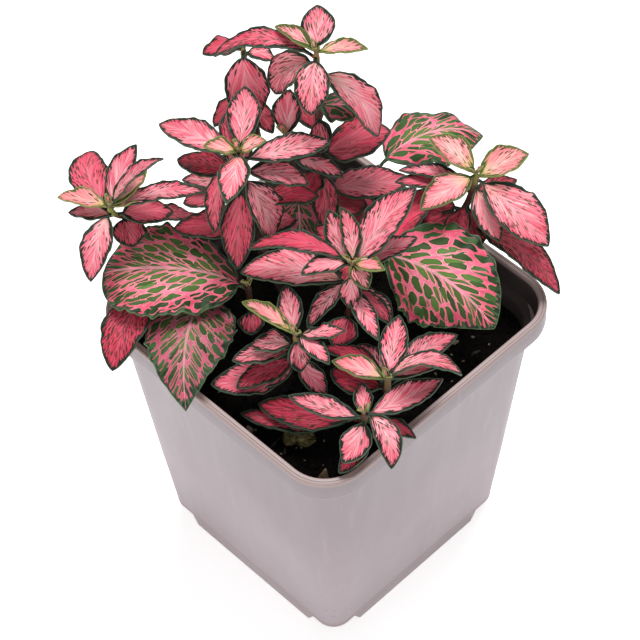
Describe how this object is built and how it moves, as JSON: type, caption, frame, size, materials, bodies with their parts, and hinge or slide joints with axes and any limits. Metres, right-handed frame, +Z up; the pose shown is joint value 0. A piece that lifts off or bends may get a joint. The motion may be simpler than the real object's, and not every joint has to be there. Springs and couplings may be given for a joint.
{
  "type": "potted nerve plant",
  "caption": "Small nerve plant with pink leaves edged in green, growing in a square tapered plastic pot with a collar, an inner ledge and feet.",
  "frame": {"origin": "on the ground plane, under the middle of the whole plant's width and depth", "axes": "+Z up, along the plant's height; the pot's two faces seen in the picture look along -Y and +X"},
  "size_m": [0.1192, 0.1204, 0.1518],
  "materials": {
    "plastic": "smooth satin grey-mauve plastic",
    "soil": "dark crumbly potting soil with pale specks",
    "wood": "dull greenish wood",
    "bark": "dull pale bark",
    "foliage": "satin pink leaves with green edges and a fine vein pattern"
  },
  "bodies": {
    "root": {"pot": "plastic", "soil": "soil", "wood_stub": "wood", "bark_chip": "bark", "leafy_stem_low_left": "foliage", "leafy_stem_lowest_left": "foliage", "leafy_stem_corner_left": "foliage", "leafy_stem_low_right": "foliage", "leafy_stem_back": "foliage", "leafy_stem_tallest": "foliage", "leafy_stem_upper_left": "foliage", "leafy_stem_centre": "foliage", "leafy_stem_far_left": "foliage", "leafy_stem_right": "foliage", "leafy_stem_front": "foliage", "leafy_stem_front_right": "foliage", "leafy_stem_front_left": "foliage", "leafy_stem_middle_back": "foliage", "leafy_stem_behind_tallest": "foliage", "leafy_stem_back_left": "foliage"}
  },
  "joints": []
}
